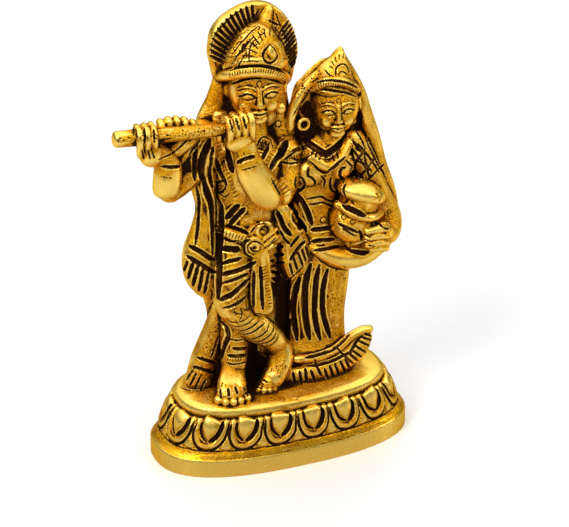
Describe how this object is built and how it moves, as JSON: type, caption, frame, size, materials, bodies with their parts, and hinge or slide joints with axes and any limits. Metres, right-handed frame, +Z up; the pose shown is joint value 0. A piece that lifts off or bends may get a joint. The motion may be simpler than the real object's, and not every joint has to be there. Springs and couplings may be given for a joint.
{
  "type": "radha krishna statue",
  "caption": "Small cast brass statuette of a crowned flute player and a veiled companion holding a pot, on an oval lotus plinth.",
  "frame": {"origin": "centre of the plinth's flat underside", "axes": "+Z up, -Y the front that the figures face, +X towards the companion's side of the plinth"},
  "size_m": [0.0605, 0.0264, 0.0897],
  "materials": {
    "brass": "polished high points over a dark patina in the hollows, fine cast grain"
  },
  "bodies": {
    "root": {"radha_krishna_statue": "brass"}
  },
  "joints": []
}
